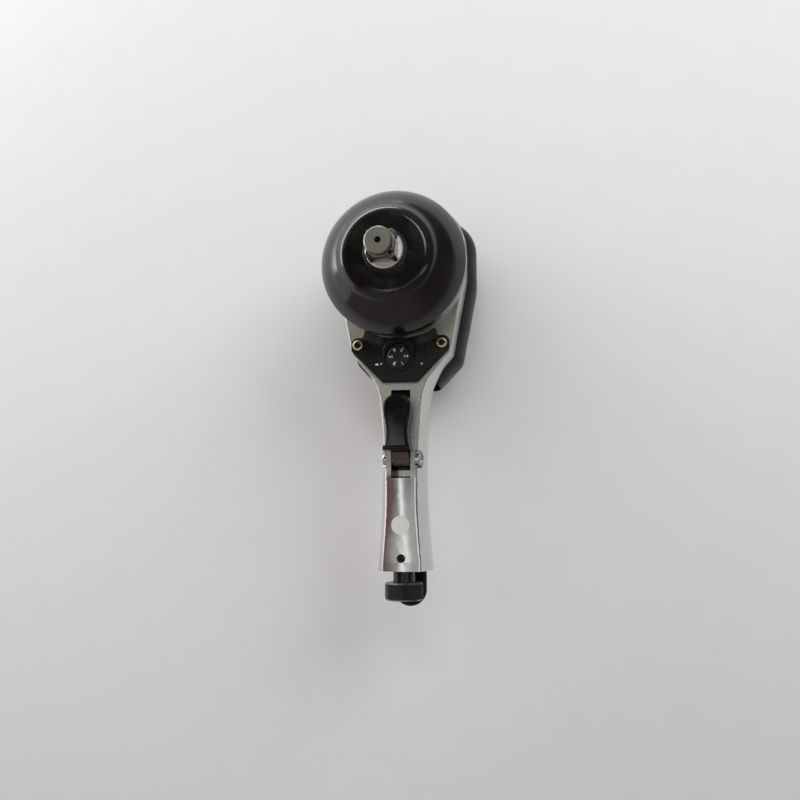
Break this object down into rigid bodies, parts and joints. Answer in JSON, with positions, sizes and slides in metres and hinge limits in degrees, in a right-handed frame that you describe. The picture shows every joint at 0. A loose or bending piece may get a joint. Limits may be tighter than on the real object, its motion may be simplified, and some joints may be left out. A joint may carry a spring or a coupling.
{
  "type": "air impact wrench",
  "caption": "Pistol grip air impact wrench with a square drive anvil in a bell shaped hammer case, a finger lever throttle, a regulator dial and a swivel air inlet.",
  "frame": {"origin": "on the anvil axis, at the flat back of the rear cover", "axes": "+Z along the anvil axis towards the square drive, -Y along the handle towards the air inlet, +X to the right seen from the front"},
  "size_m": [0.1034, 0.2922, 0.1756],
  "materials": {
    "black_enamel": "gloss black enamel",
    "black_cover": "gloss black moulded plastic",
    "cast_aluminium": "die cast, polished on the sides and the handle",
    "black_plastic": "satin black moulded plastic",
    "lever_plastic": "gloss black moulded plastic",
    "tool_steel": "hardened, dull oiled",
    "bright_steel": "ground and plated",
    "yellow_zinc": "yellow zinc plate",
    "bronze": "turned bronze, oiled dark",
    "black_oxide": "black oxide",
    "seal_rubber": "matt",
    "vane_resin": "resin bonded fabric",
    "felt": "felt"
  },
  "bodies": {
    "housing": {"bolt_washers": "bright_steel", "case_gasket": "seal_rubber", "collar_clip": "bright_steel", "control_panel": "black_plastic", "cylinder": "tool_steel", "cylinder_pin": "bright_steel", "detent_ball": "bright_steel", "detent_spring": "bright_steel", "front_bearing_outer": "bright_steel", "front_end_plate": "cast_aluminium", "hammer_case": "black_enamel", "housing_bolts": "bright_steel", "inlet_lock_pin": "black_oxide", "inlet_seal": "seal_rubber", "inlet_stem": "black_oxide", "inlet_strainer": "bright_steel", "lever_pin": "bright_steel", "lever_pin_screw": "bright_steel", "motor_housing": "cast_aluminium", "muffler_cap": "black_cover", "muffler_core": "felt", "nose_bushing": "bronze", "panel_screws": "yellow_zinc", "rear_bearing_outer": "bright_steel", "rear_cover": "black_cover", "rear_end_plate": "cast_aluminium", "rear_gasket": "seal_rubber", "throttle_sleeve": "tool_steel", "throttle_spring": "bright_steel", "valve_sleeve": "tool_steel"},
    "rotor": {"rotor": "tool_steel", "rotor_vanes": "vane_resin", "hammer_cage": "tool_steel", "hammer_pins": "tool_steel", "front_bearing_inner": "bright_steel", "rear_bearing_inner": "bright_steel"},
    "rear_hammer": {"rear_hammer": "tool_steel"},
    "front_hammer": {"front_hammer": "tool_steel"},
    "anvil": {"anvil": "tool_steel", "friction_ring": "tool_steel", "ring_cushion": "seal_rubber"},
    "bearing_balls": {"front_bearing_balls": "bright_steel", "rear_bearing_balls": "bright_steel"},
    "lever": {"throttle_lever": "lever_plastic"},
    "spool": {"throttle_spool": "tool_steel"},
    "dial": {"regulator_dial": "black_plastic", "reverse_valve": "tool_steel"},
    "collar": {"inlet_collar": "black_oxide"}
  },
  "joints": [
    {"name": "rotor_spin", "type": "hinge", "parent": "housing", "child": "rotor", "pos_m": [0, 0, 0.045], "axis": [0, 0, 1], "continuous": true},
    {"name": "rear_hammer_rock", "type": "hinge", "parent": "rotor", "child": "rear_hammer", "pos_m": [0.025, 0, 0.1], "axis": [0, 0, 1], "range_deg": [-3, 3]},
    {"name": "front_hammer_rock", "type": "hinge", "parent": "rotor", "child": "front_hammer", "pos_m": [-0.025, 0, 0.115], "axis": [0, 0, 1], "range_deg": [-3, 3]},
    {"name": "anvil_spin", "type": "hinge", "parent": "housing", "child": "anvil", "pos_m": [0, 0, 0.14], "axis": [0, 0, 1], "continuous": true},
    {"name": "ball_roll", "type": "hinge", "parent": "housing", "child": "bearing_balls", "pos_m": [0, 0, 0.045], "axis": [0, 0, 1], "continuous": true},
    {"name": "lever_press", "type": "hinge", "parent": "housing", "child": "lever", "pos_m": [0, -0.1355, 0.0905], "axis": [-1, 0, 0], "range_deg": [0, 7], "stiffness_Nm_per_rad": 0.8, "springref_deg": -17.19},
    {"name": "spool_slide", "type": "slide", "parent": "housing", "child": "spool", "axis": [0, 0, -1], "range_m": [0, 0.0038], "deforming": ["throttle_spring"]},
    {"name": "dial_turn", "type": "hinge", "parent": "housing", "child": "dial", "pos_m": [0, -0.0632, 0.098], "axis": [0, 0, 1], "range_deg": [-120, 120]},
    {"name": "collar_swivel", "type": "hinge", "parent": "housing", "child": "collar", "pos_m": [0, -0.228, 0.084], "axis": [0, -1, 0], "continuous": true}
  ],
  "couplings": [
    {"joint": "anvil_spin", "follows": "rotor_spin", "ratio": 1},
    {"joint": "ball_roll", "follows": "rotor_spin", "ratio": 0.38},
    {"joint": "spool_slide", "follows": "lever_press", "m_per_rad": 0.0305}
  ]
}
